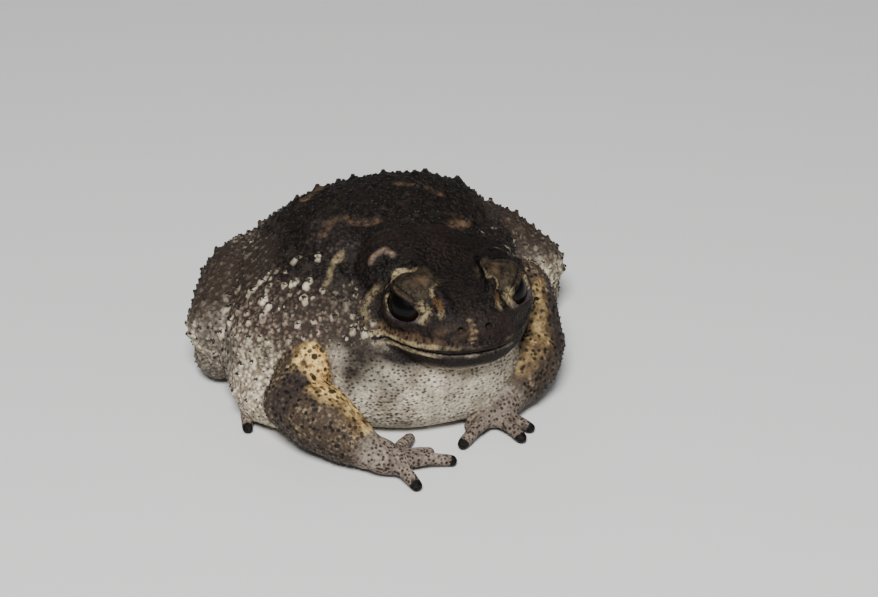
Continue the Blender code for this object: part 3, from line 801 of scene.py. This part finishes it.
lookSet = {
    # Spans over which a mask fades in
    "dorsal": (20.0, 36.0),
    "belly": (27.0, 8.0),
    "crown": (5.0, 9.0),
    "nearMouth": (4.2, 3.0),
    "underLipShade": (6.5, 2.5),
    "rightSide": (-2.0, -10.0),
    "band": (0.75, 0.15),
    "bandSlope": (7.0, 15.0),
    "bandEnd": (-6.0, -9.0),
    "lowerLipEnd": (-5.0, -10.0),
    "labial": (1.4, 0.8),
    "lid": (1.1, 0.9),
    "eardrum": (1.0, 0.7),
    # Lines: height of the middle, strength and width
    "lipLine": (0.1, 1.0, 0.40),
    "lowerLip": (-0.7, 0.9, 0.24),
    # painted highlight along the edge of the upper lid
    "lidEdgeHighlight": (0.45, 1.0, 0.35),
    # painted shade in the creases of the upper lid: how dark, and how wide
    "foldShadeTone": 2.4,
    "foldWidth": 0.3,
    "bandHeight": 1.75,
    "bandDrop": 0.6,
    "labialRise": 1.2,
    "labialTan": 0.6,
    "leftShare": 0.22,  # how strong the cream of the lips is on the left
    "wartGain": 1.3,
    # how much the warts' paleness fades where shade is painted
    "paintedShadeWartLoss": 0.75,
}


def paintMasks(skin, warts):
    points, edges = readPoints(skin), readEdges(skin)
    labels = labelRegions(points)
    local = headPoints(points)
    body = points / mm
    z = body[:, 2]
    hx, hy, hz = local.T

    def region(parts, rounds):
        return spreadOut(regionMask(labels, parts), edges, rounds)

    head = region(("head",), 3)
    jaw = region(("lower_jaw",), 2)
    arm = region(("upper_arm", "forearm"), 4)
    shank = region(("shank",), 5)
    hand = region(("hand", "foot"), 25)
    flesh = (1 - arm) * (1 - hand)
    wobble = np.column_stack([grain(points, 1.1, seed) for seed in (0.0, 31.0, 57.0)])
    inside, number = wartField(points + wobble * wartSet["wobble"] * mm, warts)
    tone = np.array([w["tone"] for w in warts])[number] * (inside > 0)
    throat = np.maximum(jaw, throatMask(points) * flesh * (1 - head))
    folded = foldOver(local)
    toMouth = distanceTo(folded, headSet["mouth"])
    look = lookSet
    near = ramp(toMouth, *look["nearMouth"])
    left = look["leftShare"]
    rightSide = left + (1 - left) * ramp(hx, *look["rightSide"])
    bandHeight = look["bandHeight"] - look["bandDrop"] * ramp(folded[:, 0], *look["bandSlope"])
    band = near * ramp(np.abs(hz - bandHeight), *look["band"]) * ramp(hy, *look["bandEnd"])
    lowerLip = near * ridge(hz, *look["lowerLip"]) * ramp(hx, *look["lowerLipEnd"])
    lips = np.maximum(band, lowerLip) * rightSide
    labial = near * head * ramp(np.abs(hz - bandHeight - look["labialRise"]), *look["labial"])
    lid = ramp(inBall(folded, *headSet["lid"]), *look["lid"])
    drum = ramp(inBall(folded, *headSet["eardrum"]), *look["eardrum"])
    lidHeight, nearEye = aboveLid(folded)
    black = np.maximum(strokes(local, "blackHead", True), near * ridge(hz, *look["lipLine"]))
    black = np.maximum(black, strokes(body, "tips") * hand)
    # Painted shade: the creases of the upper lid are darkened towards black
    for at, depth in lidSet["folds"]:
        crease = nearEye * lid * ridge(lidHeight, at, depth * look["foldShadeTone"], look["foldWidth"])
        black = np.maximum(black, crease)
    # Painted shade over the rear flanks and the left hand
    murk = strokes(body, "murk") * (1 - jaw)
    tan = np.maximum(strokes(local, "tanHead", True), strokes(local, "snoutStripe"))
    # Painted shade: the throat darkens just below the mouth, where the head shades it, and along the
    # violet strokes
    underLipShade = ramp(toMouth, *look["underLipShade"]) + strokes(body, "violetShade")
    masks = {
        "dorsal": ramp(z, *look["dorsal"]) * flesh,
        "belly": ramp(z, *look["belly"]) * flesh * (1 - shank),
        "murk": murk,
        "armpit": strokes(body, "armpit") * (1 - arm),
        # Painted highlight: a faint tan line along the edge of the upper lid
        "lidEdgeHighlight": nearEye * lid * ridge(lidHeight, *look["lidEdgeHighlight"]),
        "lips": lips,
        "throat": throat,
        "underLipShade": throat * underLipShade,
        "arm": arm,
        "glow": strokes(body, "armGlow") * arm,
        "armDarkAndShade": strokes(body, "armDarkAndShade") * arm,
        "leg": np.maximum(shank, strokes(body, "legPatch") * flesh),
        "hand": hand,
        "crown": head * ramp(hz, *look["crown"]),
        "lore": head * (1 - ramp(hz, *look["crown"])),
        "labial": labial,
        "tan": np.maximum(tan, labial * rightSide * look["labialTan"]),
        "ring": strokes(local, "ring", True),
        "tanBack": strokes(body, "tanBack"),
        "cream": np.maximum(strokes(local, "creamHead", True), strokes(local, "creamSnout")),
        "creamBody": strokes(body, "creamBody"),
        "orange": strokes(local, "orangeHead", True),
        "olive": np.maximum(np.maximum(lid, drum) * head, strokes(local, "oliveHead", True)),
        "lilac": strokes(local, "lilacHead", True),
        "black": black,
        "wart": inside * look["wartGain"],
        "wartTone": tone * (1 - look["paintedShadeWartLoss"] * murk),
        "gland": region(("parotoid",), 3),
    }
    for name, values in masks.items():
        storeMask(skin, name, values)


# The skin's finish

# Each ground has a dark colour for the gaps between its granules and a pale one for their tops
skinColours = {
    "flank": ((0.030, 0.0210, 0.0160, 1.0), (0.24, 0.175, 0.130, 1.0)),
    "back": ((0.0024, 0.0017, 0.0015, 1.0), (0.014, 0.0083, 0.0064, 1.0)),
    "gland": ((0.0060, 0.0045, 0.0042, 1.0), (0.055, 0.040, 0.036, 1.0)),
    "belly": ((0.23, 0.18, 0.125, 1.0), (0.74, 0.66, 0.50, 1.0)),
    "throat": ((0.30, 0.25, 0.185, 1.0), (0.60, 0.53, 0.41, 1.0)),
    "arm": ((0.048, 0.034, 0.023, 1.0), (0.34, 0.25, 0.155, 1.0)),
    # dark skin of the elbow and painted shade of the left arm
    "armDarkAndShade": ((0.028, 0.020, 0.017, 1.0), (0.100, 0.075, 0.060, 1.0)),
    "glow": ((0.36, 0.200, 0.066, 1.0), (0.82, 0.57, 0.215, 1.0)),
    "leg": ((0.095, 0.078, 0.060, 1.0), (0.42, 0.36, 0.285, 1.0)),
    "hand": ((0.130, 0.098, 0.076, 1.0), (0.28, 0.225, 0.180, 1.0)),
    # painted shade under the lip
    "underLipShade": (0.011, 0.0085, 0.0080, 1.0),
    # painted shadow in the armpits
    "armpit": (0.022, 0.016, 0.012, 1.0),
    "crown": (0.0030, 0.0021, 0.0019, 1.0),
    "crownBrown": (0.011, 0.0060, 0.0044, 1.0),
    "lore": (0.018, 0.0110, 0.0090, 1.0),
    "loreDark": (0.0042, 0.0031, 0.0029, 1.0),
    "cream": (0.43, 0.355, 0.190, 1.0),
    "creamTan": (0.17, 0.115, 0.065, 1.0),
    "wart": (0.64, 0.55, 0.40, 1.0),
    "ring": (0.24, 0.165, 0.115, 1.0),
    "tan": (0.13, 0.080, 0.044, 1.0),
    "orange": (0.24, 0.130, 0.052, 1.0),
    "olive": (0.0065, 0.0048, 0.0035, 1.0),
    "oliveTan": (0.056, 0.041, 0.023, 1.0),
    "lilac": (0.052, 0.040, 0.044, 1.0),
    "black": (0.0025, 0.0021, 0.0020, 1.0),
}

cloudSet = {"wide": (150.0, 4.0), "middle": (420.0, 4.0), "fine": (1500.0, 3.0)}  # scale, detail

textureSet = {
    # Patterns of dots: scale, scatter, size and softness
    "granules": (1050.0, 1.0, 0.66, 0.45),
    "bars": (1150.0, 0.9, 0.42, 0.10),
    "barStrength": 0.9,
    # How patterns are stretched
    "rows": (0.85, 0.85, 1.3),
    "upright": (1.0, 1.0, 0.45),
    "patchy": (0.36, 0.62),
    "roughness": (0.3, 0.7, 0.50, 0.75),
    "specular": 0.12,
}

# Black dots of each region: scale, scatter, size and softness of their pattern, and strength
dotSet = {
    "glow": (470.0, 0.9, 0.38, 0.10, 0.95),
    "arm": (780.0, 0.9, 0.42, 0.14, 0.85),
    "leg": (700.0, 1.0, 0.30, 0.10, 0.8),
    "hand": (1200.0, 0.8, 0.50, 0.22, 0.88),
    "throat": (1150.0, 0.7, 0.46, 0.24, 0.82),
}

# Markings: the cloud that breaks up their edge and how far, the span of the mask over which
# they fade in, their strength and their colour
paintSet = {
    "olive": ("middle", 1.0, 0.15, 0.75, 0.95, "olive"),
    "tan": ("middle", 1.6, 0.15, 1.0, 0.8, "tan"),
    "ring": ("middle", 1.6, 0.3, 1.2, 0.9, "ring"),
    "tanBack": ("middle", 2.8, 0.3, 1.6, 0.85, "tan"),
    # painted highlight on the edge of the upper lid
    "lidEdgeHighlight": ("fine", 1.0, 0.3, 1.2, 0.35, "tan"),
    "lips": ("middle", 1.8, 0.15, 0.9, 0.8, "cream"),
    "cream": ("fine", 1.8, 0.1, 1.0, 0.95, "cream"),
    "creamBody": ("middle", 2.0, 0.2, 1.3, 0.8, "cream"),
    "orange": ("fine", 1.8, 0.1, 1.1, 0.85, "orange"),
}


def addNode(tree, kind, **settings):
    node = tree.nodes.new(kind)
    for key, value in settings.items():
        if key in node.inputs:
            node.inputs[key].default_value = value
        else:
            setattr(node, key, value)
    return node


def mask(tree, name):
    return addNode(tree, "ShaderNodeAttribute", attribute_name=name).outputs["Fac"]


def remap(tree, value, low, high, newLow=0.0, newHigh=1.0):
    node = tree.nodes.new("ShaderNodeMapRange")
    for key, number in (("From Min", low), ("From Max", high), ("To Min", newLow), ("To Max", newHigh)):
        node.inputs[key].default_value = number
    tree.links.new(value, node.inputs["Value"])
    return node.outputs["Result"]


def plug(tree, socket, source):
    if isinstance(source, (tuple, float)):
        socket.default_value = source
    else:
        tree.links.new(source, socket)


def blend(tree, factor, under, over):
    node = tree.nodes.new("ShaderNodeMix")
    node.data_type = "RGBA"
    plug(tree, node.inputs[0], factor)
    plug(tree, node.inputs[6], under)
    plug(tree, node.inputs[7], over)
    return node.outputs[2]


def multiply(tree, a, b, clamp=True):
    node = addNode(tree, "ShaderNodeMath", operation="MULTIPLY", use_clamp=clamp)
    plug(tree, node.inputs[0], a)
    plug(tree, node.inputs[1], b)
    return node.outputs[0]


def ragged(tree, name, cloud, spread, low, high):
    # A mask whose edge is broken up by a cloud of noise
    wave = remap(tree, cloud, 0.0, 1.0, 1 - spread, 1 + spread)
    return remap(tree, multiply(tree, mask(tree, name), wave, False), low, high)


patternNames = ("Scale", "Scatter", "Size", "Softness")


def makeSpeckleGroup():
    # Dots of one size at about one distance from each other
    group = bpy.data.node_groups.new("speckle", "ShaderNodeTree")
    group.interface.new_socket("Vector", in_out="INPUT", socket_type="NodeSocketVector")
    for name in patternNames:
        group.interface.new_socket(name, in_out="INPUT", socket_type="NodeSocketFloat")
    group.interface.new_socket("Dots", in_out="OUTPUT", socket_type="NodeSocketFloat")
    enter = group.nodes.new("NodeGroupInput").outputs
    leave = group.nodes.new("NodeGroupOutput").inputs
    cells = group.nodes.new("ShaderNodeTexVoronoi")
    edge = addNode(group, "ShaderNodeMath", operation="SUBTRACT")
    sharp = addNode(group, "ShaderNodeMath", operation="DIVIDE", use_clamp=True)
    for source, target in (
        (enter["Vector"], cells.inputs["Vector"]),
        (enter["Scale"], cells.inputs["Scale"]),
        (enter["Scatter"], cells.inputs["Randomness"]),
        (enter["Size"], edge.inputs[0]),
        (cells.outputs["Distance"], edge.inputs[1]),
        (edge.outputs[0], sharp.inputs[0]),
        (enter["Softness"], sharp.inputs[1]),
        (sharp.outputs[0], leave["Dots"]),
    ):
        group.links.new(source, target)
    return group


def speckle(tree, group, where, *pattern):
    node = tree.nodes.new("ShaderNodeGroup")
    node.node_tree = group
    tree.links.new(where, node.inputs["Vector"])
    for name, value in zip(patternNames, pattern):
        node.inputs[name].default_value = value
    return node.outputs["Dots"]


def cloudOf(tree, where, scale, detail):
    cloud = addNode(tree, "ShaderNodeTexNoise", Scale=scale, Detail=detail, Roughness=0.6)
    tree.links.new(where, cloud.inputs["Vector"])
    return cloud.outputs["Fac"]


def stretched(tree, where, scale):
    node = tree.nodes.new("ShaderNodeMapping")
    node.inputs["Scale"].default_value = scale
    tree.links.new(where, node.inputs["Vector"])
    return node.outputs["Vector"]


def finishSkin(skin, group):
    tree, shader = addMaterial(skin, "toad skin")
    where = tree.nodes.new("ShaderNodeTexCoord").outputs["Object"]
    clouds = {name: cloudOf(tree, where, *spec) for name, spec in cloudSet.items()}
    granules = speckle(tree, group, where, *textureSet["granules"])
    patchy = remap(tree, clouds["middle"], *textureSet["patchy"])
    colour = groundColour(tree, clouds, granules, patchy)
    colour = addDots(tree, group, where, colour)
    colour = addMarkings(tree, clouds, patchy, colour)
    bars = speckle(tree, group, stretched(tree, where, textureSet["upright"]), *textureSet["bars"])
    bars = multiply(tree, bars, textureSet["barStrength"])
    fine, black = clouds["fine"], skinColours["black"]
    colour = blend(tree, multiply(tree, bars, mask(tree, "labial")), colour, black)
    colour = blend(tree, ragged(tree, "black", fine, 0.7, 0.35, 0.7), colour, black)
    shade = multiply(tree, remap(tree, fine, 0.45, 0.70), 0.55)
    colour = blend(tree, shade, colour, skinColours["flank"][0])
    tree.links.new(colour, shader.inputs["Base Color"])
    normal = None
    for height, strength, depth in ((granules, 0.7, 0.25), (fine, 0.35, 0.1)):
        bump = addNode(tree, "ShaderNodeBump", Strength=strength, Distance=depth * mm)
        tree.links.new(height, bump.inputs["Height"])
        if normal:
            tree.links.new(normal, bump.inputs["Normal"])
        normal = bump.outputs["Normal"]
    tree.links.new(normal, shader.inputs["Normal"])
    tree.links.new(remap(tree, fine, *textureSet["roughness"]), shader.inputs["Roughness"])
    shader.inputs["Specular IOR Level"].default_value = textureSet["specular"]


def groundColour(tree, clouds, granules, patchy):
    # The colours of the regions, one laid over the other
    tone = skinColours
    wide, middle, fine = (clouds[name] for name in ("wide", "middle", "fine"))
    tops = multiply(tree, granules, remap(tree, middle, 0.38, 0.60, 0.12, 1.0))
    tops = multiply(tree, tops, remap(tree, wide, 0.36, 0.60, 0.45, 1.0))
    colour = blend(tree, tops, *tone["flank"])
    belly = blend(tree, granules, *tone["belly"])
    colour = blend(tree, ragged(tree, "belly", middle, 1.3, 0.2, 0.9), colour, belly)
    back = blend(tree, multiply(tree, tops, remap(tree, wide, 0.40, 0.62)), *tone["back"])
    colour = blend(tree, ragged(tree, "dorsal", middle, 1.4, 0.1, 0.9), colour, back)
    crown = blend(tree, remap(tree, wide, 0.45, 0.70), tone["crown"], tone["crownBrown"])
    colour = blend(tree, mask(tree, "crown"), colour, crown)
    lore = blend(tree, patchy, tone["loreDark"], tone["lore"])
    colour = blend(tree, mask(tree, "lore"), colour, lore)
    colour = blend(tree, mask(tree, "gland"), colour, blend(tree, tops, *tone["gland"]))
    arm = blend(tree, multiply(tree, tops, patchy), *tone["arm"])
    glow = blend(tree, patchy, *tone["glow"])
    arm = blend(tree, ragged(tree, "glow", middle, 1.5, 0.05, 0.9), arm, glow)
    # Dark elbow skin and painted shade of the left arm
    shaded = blend(tree, tops, *tone["armDarkAndShade"])
    arm = blend(tree, ragged(tree, "armDarkAndShade", middle, 0.9, 0.3, 0.8), arm, shaded)
    colour = blend(tree, mask(tree, "arm"), colour, arm)
    leg = blend(tree, tops, *tone["leg"])
    colour = blend(tree, ragged(tree, "leg", middle, 1.0, 0.3, 0.8), colour, leg)
    hand = blend(tree, patchy, *tone["hand"])
    colour = blend(tree, mask(tree, "hand"), colour, hand)
    throat = blend(tree, remap(tree, wide, 0.35, 0.6), *tone["throat"])
    # Painted shade under the lip and on the right of the throat
    throat = blend(tree, mask(tree, "underLipShade"), throat, tone["underLipShade"])
    colour = blend(tree, mask(tree, "throat"), colour, throat)
    # Painted shadow in the armpits, over every other colour
    colour = blend(tree, ragged(tree, "armpit", middle, 0.3, 0.0, 1.0), colour, tone["armpit"])
    # Painted shade: darkens towards the flank's dark colour
    paintedShadeFade = multiply(tree, ragged(tree, "murk", middle, 0.8, 0.1, 0.9), 0.85)
    colour = blend(tree, paintedShadeFade, colour, tone["flank"][0])
    colour = blend(tree, ragged(tree, "lilac", fine, 0.6, 0.2, 0.8), colour, tone["lilac"])
    pale = ragged(tree, "wart", fine, 1.0, 0.12, 0.55)
    pale = multiply(tree, pale, mask(tree, "wartTone"))
    return blend(tree, pale, colour, tone["wart"])


def addDots(tree, group, where, colour):
    rows = stretched(tree, where, textureSet["rows"])
    for area, (*pattern, strength) in dotSet.items():
        spots = speckle(tree, group, rows if area == "throat" else where, *pattern)
        reach = multiply(tree, spots, mask(tree, area))
        reach = multiply(tree, reach, strength)
        colour = blend(tree, reach, colour, skinColours["black"])
    return colour


def addMarkings(tree, clouds, patchy, colour):
    tone = skinColours
    fine = clouds["fine"]
    mottle = multiply(tree, patchy, remap(tree, fine, 0.36, 0.56, 0.3, 1.0))
    paints = {
        "olive": blend(tree, mottle, tone["olive"], tone["oliveTan"]),
        "cream": blend(tree, remap(tree, fine, 0.38, 0.58), tone["creamTan"], tone["cream"]),
    }
    for name, (cloud, spread, low, high, strength, paint) in paintSet.items():
        reach = ragged(tree, name, clouds[cloud], spread, low, high)
        reach = multiply(tree, reach, strength)
        colour = blend(tree, reach, colour, paints.get(paint, tone[paint]))
    return colour


# Black spinules on the warts

spineSet = {
    "seed": 3,
    "count": {
        "back": (2, 4), "flank": (2, 4), "low": (0, 2), "belly": (0, 0), "arm": (1, 1), "gland": (1, 1),
    },
    "large": 1.2,          # warts with a greater radius than this get more thorns
    "extra": 2,
    "radius": (0.06, 0.14),
    "growth": 0.11,        # a thorn is thicker by this share of its wart's radius
    "height": (0.05, 0.22),
    "lift": 0.25,          # a thorn's foot stands proud by this share of the wart's height
    "shift": 0.22,        # the fan's middle lies uphill of the wart's, as a share of its radius
    "start": 0.15,         # where a thorn begins and ends, as shares of the same radius
    "reach": (0.6, 0.95),
    "fan": 2.8,            # radians, and so is how far a thorn strays in it
    "jitter": 0.25,
    "sides": 6,
    "colour": (0.006, 0.005, 0.0045, 1.0),
    "roughness": 0.4,
}


def makeSpines(skin, warts):
    # A fan of small thorns lies on the upper half of each wart: a ring of corners and a tip
    draw = random.Random(spineSet["seed"])
    tree = BVHTree.FromObject(skin, bpy.context.evaluated_depsgraph_get())
    sideCount = spineSet["sides"]
    corners, faces = [], []
    for wart in warts:
        up = Vector(wart["up"])
        uphill = (Vector((0, 0, 1)) - up * up.z + up.orthogonal() * 0.01).normalized()
        level = up.cross(uphill)
        top = Vector(wart["at"]) + up * wart["rise"] + uphill * wart["radius"] * spineSet["shift"]
        count = draw.randint(*spineSet["count"][wart["zone"]])
        if wart["radius"] > spineSet["large"] * mm:
            count += spineSet["extra"]
        for number in range(count):
            turn = (number + 0.5) / count - 0.5
            turn = turn * spineSet["fan"] + draw.uniform(-spineSet["jitter"], spineSet["jitter"])
            ahead = uphill * math.cos(turn) + level * math.sin(turn)
            first = spineSet["start"] if count > 1 else 0.0
            reach = wart["radius"] * draw.uniform(*spineSet["reach"])
            spot, normal, _, _ = tree.find_nearest(top + ahead * wart["radius"] * first)
            tip, tipNormal, _, _ = tree.find_nearest(top + ahead * reach)
            spot += normal * wart["rise"] * spineSet["lift"]
            tip += tipNormal * draw.uniform(*spineSet["height"]) * mm
            axis = (tip - spot).normalized()
            across = axis.cross(normal).normalized()
            over = axis.cross(across)
            radius = draw.uniform(*spineSet["radius"]) * mm + wart["radius"] * spineSet["growth"]
            base = len(corners)
            for k in range(sideCount):
                angle = 2 * math.pi * k / sideCount
                corners.append(spot + (across * math.cos(angle) + over * math.sin(angle)) * radius)
            corners.append(tip)
            faces += [
                (base + k, base + (k + 1) % sideCount, base + sideCount) for k in range(sideCount)
            ]
            faces.append(tuple(base + k for k in reversed(range(sideCount))))
    mesh = bpy.data.meshes.new("spinules")
    mesh.from_pydata(corners, [], faces)
    spines = addObject("spinules", mesh)
    mesh.shade_smooth()
    _, shader = addMaterial(spines, "black horn")
    shader.inputs["Base Color"].default_value = spineSet["colour"]
    shader.inputs["Roughness"].default_value = spineSet["roughness"]
    print("spinules:", len(mesh.polygons), "faces")
    return spines


# Eyes

eyeSet = {
    "radius": 4.86,
    "gaze": (0.62, -0.65, 0.44),
    "segments": 72,
    "rings": 44,
    "pupilEdge": (0.55, 0.75),  # radians from the middle of the gaze
    "irisEdge": (1.2, 0.9),
    "black": (0.0015, 0.0013, 0.0013, 1.0),
    "iris": (0.0075, 0.0045, 0.003, 1.0),
    "gloss": {
        "Roughness": 0.3, "Specular IOR Level": 0.1, "Coat Weight": 0.07, "Coat Roughness": 0.04,
    },
}


def makeEye(name, side):
    centre = middleOf("eye_" + name)
    eye = addBall(centre, eyeSet["radius"], eyeSet["segments"], eyeSet["rings"])
    eye.name = eye.data.name = "eyeball_" + name
    eye.data.shade_smooth()
    gaze = headFrame.to_3x3() @ Vector(flip(eyeSet["gaze"], side)).normalized()
    away = (readPoints(eye) - np.array(centre)) / (eyeSet["radius"] * mm)
    angle = np.arccos(np.clip(away @ np.array(gaze), -1, 1))
    iris = ramp(angle, *eyeSet["pupilEdge"]) * ramp(angle, *eyeSet["irisEdge"])
    storeMask(eye, "iris", iris)
    tree, shader = addMaterial(eye, "eye " + name)
    colour = blend(tree, mask(tree, "iris"), eyeSet["black"], eyeSet["iris"])
    tree.links.new(colour, shader.inputs["Base Color"])
    for key, value in eyeSet["gloss"].items():
        shader.inputs[key].default_value = value
    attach(eye, "root")
    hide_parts("eye_" + name)


makeCamera()
makeLights()
makeFloor()
print("studio ready")
skin, warts = makeSkin()
paintMasks(skin, warts)
finishSkin(skin, makeSpeckleGroup())
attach(skin, "root")
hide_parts(*fleshNodes)
spines = makeSpines(skin, warts)
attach(spines, "root")
for name, side in sides.items():
    makeEye(name, side)
print("toad dressed")
